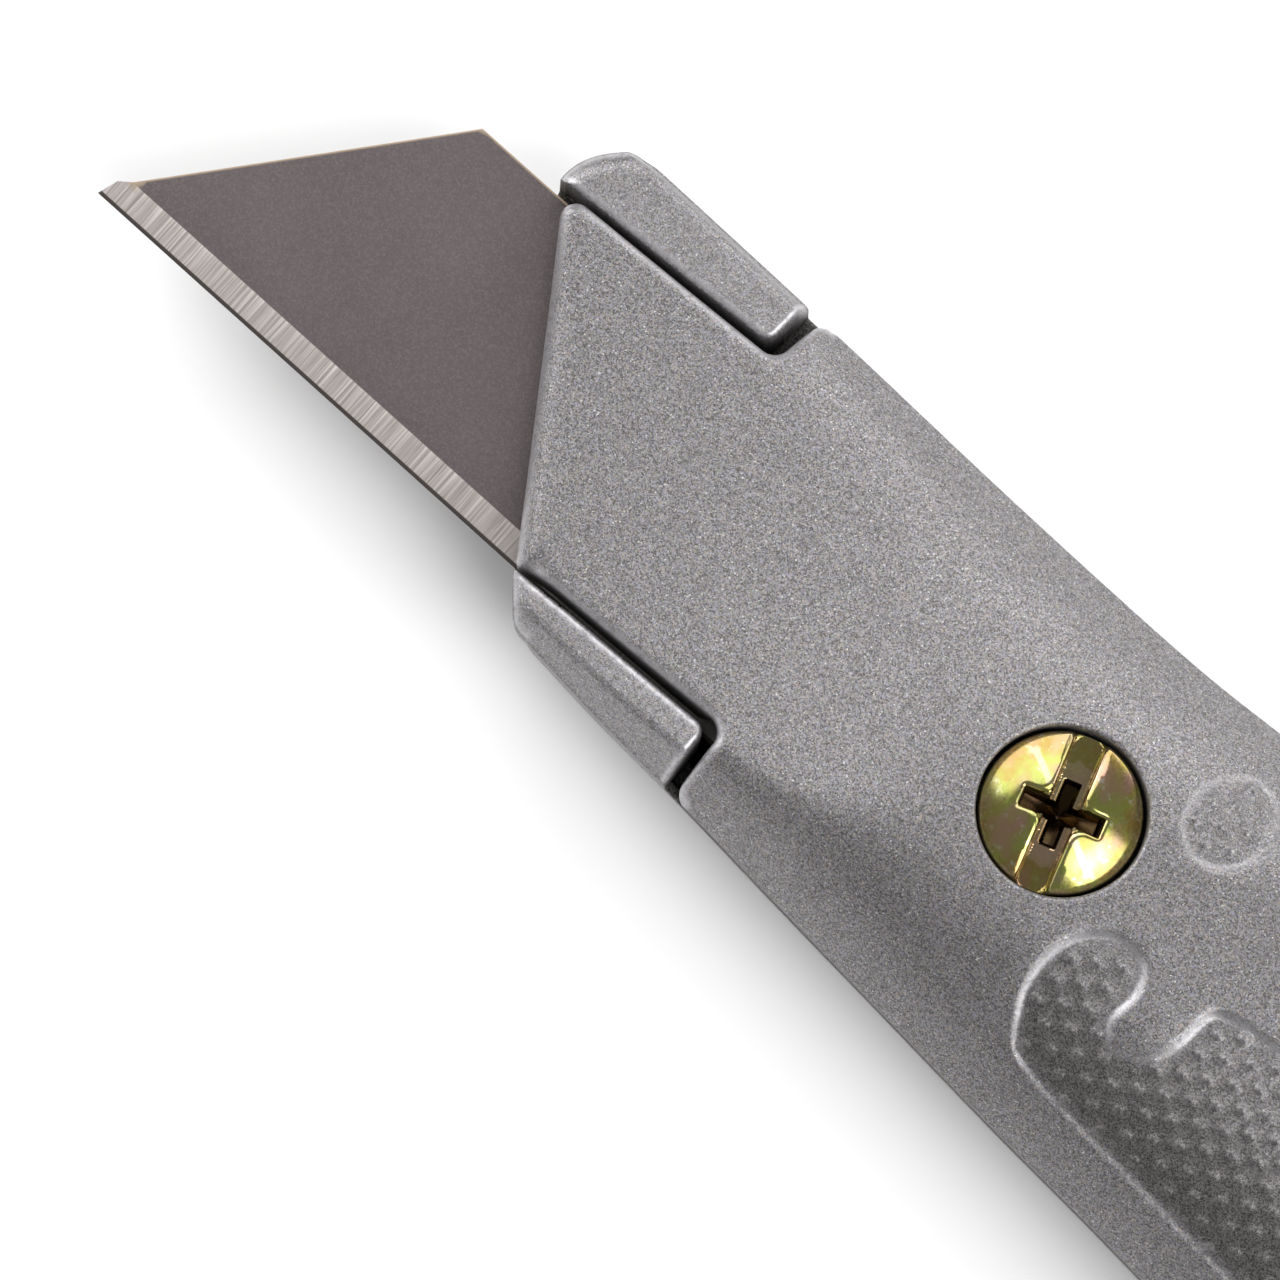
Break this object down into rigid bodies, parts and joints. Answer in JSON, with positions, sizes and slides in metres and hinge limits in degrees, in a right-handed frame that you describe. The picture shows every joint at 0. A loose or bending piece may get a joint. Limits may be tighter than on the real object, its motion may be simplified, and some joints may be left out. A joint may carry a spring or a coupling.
{
  "type": "utility knife",
  "caption": "Fixed-blade utility knife with a two-part cast metal handle, a clamping screw, a trapezoid blade at the nose and spare blades stored in the handle.",
  "frame": {"origin": "under the middle of the knife's box, on the plane that its rear half lies on", "axes": "+X towards the tail, parallel to the cutting edge, +Y towards the spine, +Z out of the side with the screw"},
  "size_m": [0.1564, 0.0362, 0.0167],
  "materials": {
    "cast_metal_paint": "satin",
    "yellow_zinc_plate": "satin",
    "blade_steel": "satin"
  },
  "bodies": {
    "rear_shell": {"rear_shell": "cast_metal_paint"},
    "front_shell": {"front_shell": "cast_metal_paint"},
    "clamp_screw": {"clamp_screw": "yellow_zinc_plate"},
    "working_blade": {"working_blade": "blade_steel"},
    "spare_blade_1": {"spare_blade_1": "blade_steel"},
    "spare_blade_2": {"spare_blade_2": "blade_steel"},
    "spare_blade_3": {"spare_blade_3": "blade_steel"},
    "spare_blade_4": {"spare_blade_4": "blade_steel"},
    "spare_blade_5": {"spare_blade_5": "blade_steel"}
  },
  "joints": [
    {"name": "front_lift", "type": "slide", "parent": "rear_shell", "child": "front_shell", "axis": [0, 0, 1], "range_m": [0, 0.0056]},
    {"name": "screw_turn", "type": "hinge", "parent": "front_shell", "child": "clamp_screw", "pos_m": [-0.00815, 0.00324, 0.0125], "axis": [0, 0, 1], "range_deg": [0, 2520]},
    {"name": "blade_lift", "type": "slide", "parent": "rear_shell", "child": "working_blade", "axis": [0, 0, 1], "range_m": [0, 0.0028]},
    {"name": "spare_1_lift", "type": "slide", "parent": "rear_shell", "child": "spare_blade_1", "axis": [0, 0, 1], "range_m": [0, 0.0004]},
    {"name": "spare_2_lift", "type": "slide", "parent": "rear_shell", "child": "spare_blade_2", "axis": [0, 0, 1], "range_m": [0, 0.0008]},
    {"name": "spare_3_lift", "type": "slide", "parent": "rear_shell", "child": "spare_blade_3", "axis": [0, 0, 1], "range_m": [0, 0.0012]},
    {"name": "spare_4_lift", "type": "slide", "parent": "rear_shell", "child": "spare_blade_4", "axis": [0, 0, 1], "range_m": [0, 0.0016]},
    {"name": "spare_5_lift", "type": "slide", "parent": "rear_shell", "child": "spare_blade_5", "axis": [0, 0, 1], "range_m": [0, 0.002]}
  ],
  "couplings": [
    {"joint": "screw_turn", "follows": "front_lift", "rad_per_m": 7854},
    {"joint": "blade_lift", "follows": "front_lift", "ratio": 0.5},
    {"joint": "spare_1_lift", "follows": "front_lift", "ratio": 0.071428},
    {"joint": "spare_2_lift", "follows": "front_lift", "ratio": 0.14286},
    {"joint": "spare_3_lift", "follows": "front_lift", "ratio": 0.21428},
    {"joint": "spare_4_lift", "follows": "front_lift", "ratio": 0.28571},
    {"joint": "spare_5_lift", "follows": "front_lift", "ratio": 0.35714}
  ]
}
